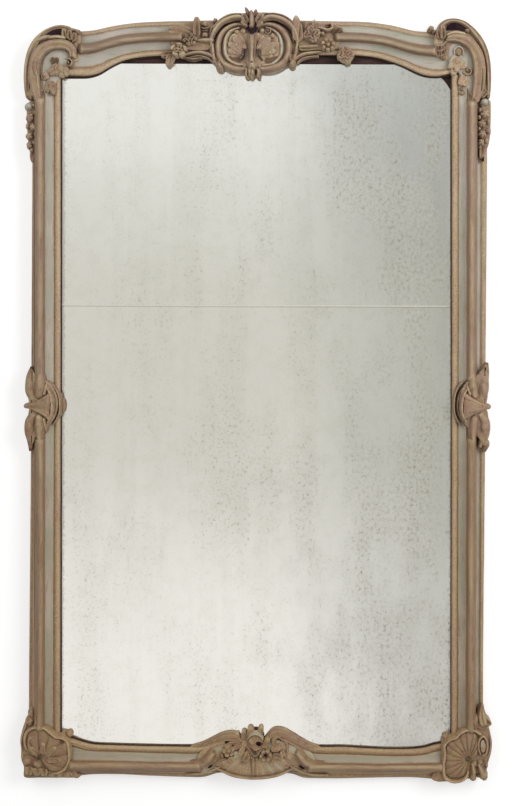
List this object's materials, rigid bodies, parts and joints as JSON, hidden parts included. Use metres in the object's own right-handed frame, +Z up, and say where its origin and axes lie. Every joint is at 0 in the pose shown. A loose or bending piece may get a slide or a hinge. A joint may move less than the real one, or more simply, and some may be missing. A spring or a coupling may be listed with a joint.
{
  "type": "wall mirror",
  "caption": "Tall wall mirror in a carved and painted frame with a shell crest, corner scrolls, side clasps and two old mirror plates",
  "frame": {"origin": "middle of the back face of the middle cross batten, on the wall plane", "axes": "+X to the right seen from the front, the front faces -Y, +Z up"},
  "size_m": [1.3106, 0.092, 2.1358],
  "materials": {
    "painted_frame": "worn grey-green paint with brown gilt mouldings",
    "gilded_carving": "worn gilding over red-brown ground",
    "mirror_glass": "old mirror plate with grey specks",
    "board_wood": "dark stained pine boards",
    "plain_wood": "bare aged pine",
    "hanger_steel": "dull aged steel"
  },
  "bodies": {
    "mirror": {"back_board_1": "board_wood", "back_board_2": "board_wood", "back_board_3": "board_wood", "back_board_4": "board_wood", "back_board_5": "board_wood", "back_board_6": "board_wood", "basket_bowl": "gilded_carving", "basket_flowers": "gilded_carving", "basket_left_scroll": "gilded_carving", "basket_right_scroll": "gilded_carving", "bottom_left_shell": "gilded_carving", "bottom_left_tongue": "plain_wood", "bottom_rail": "painted_frame", "bottom_right_shell": "gilded_carving", "bottom_right_tongue": "plain_wood", "crest_finial": "gilded_carving", "crest_left_scroll": "gilded_carving", "crest_pendant": "gilded_carving", "crest_right_scroll": "gilded_carving", "crest_shell": "gilded_carving", "left_clasp": "gilded_carving", "left_flower_drop": "gilded_carving", "left_hanger_strap": "hanger_steel", "left_setting_block": "plain_wood", "left_spray": "gilded_carving", "left_stile": "painted_frame", "lower_batten": "plain_wood", "lower_mirror_plate": "mirror_glass", "middle_batten": "plain_wood", "right_clasp": "gilded_carving", "right_flower_drop": "gilded_carving", "right_hanger_strap": "hanger_steel", "right_setting_block": "plain_wood", "right_spray": "gilded_carving", "right_stile": "painted_frame", "top_left_corner_leaf": "gilded_carving", "top_left_corner_scroll": "gilded_carving", "top_left_tongue": "plain_wood", "top_rail": "painted_frame", "top_right_corner_leaf": "gilded_carving", "top_right_corner_scroll": "gilded_carving", "top_right_tongue": "plain_wood", "upper_batten": "plain_wood", "upper_mirror_plate": "mirror_glass"},
    "left_ring": {"left_hanger_ring": "hanger_steel"},
    "right_ring": {"right_hanger_ring": "hanger_steel"}
  },
  "joints": [
    {"name": "left_ring_hinge", "type": "hinge", "parent": "mirror", "child": "left_ring", "pos_m": [-0.579, -0.00984, 0.76], "axis": [1, 0, 0], "range_deg": [0, 178]},
    {"name": "right_ring_hinge", "type": "hinge", "parent": "mirror", "child": "right_ring", "pos_m": [0.579, -0.00984, 0.76], "axis": [1, 0, 0], "range_deg": [0, 178]}
  ]
}
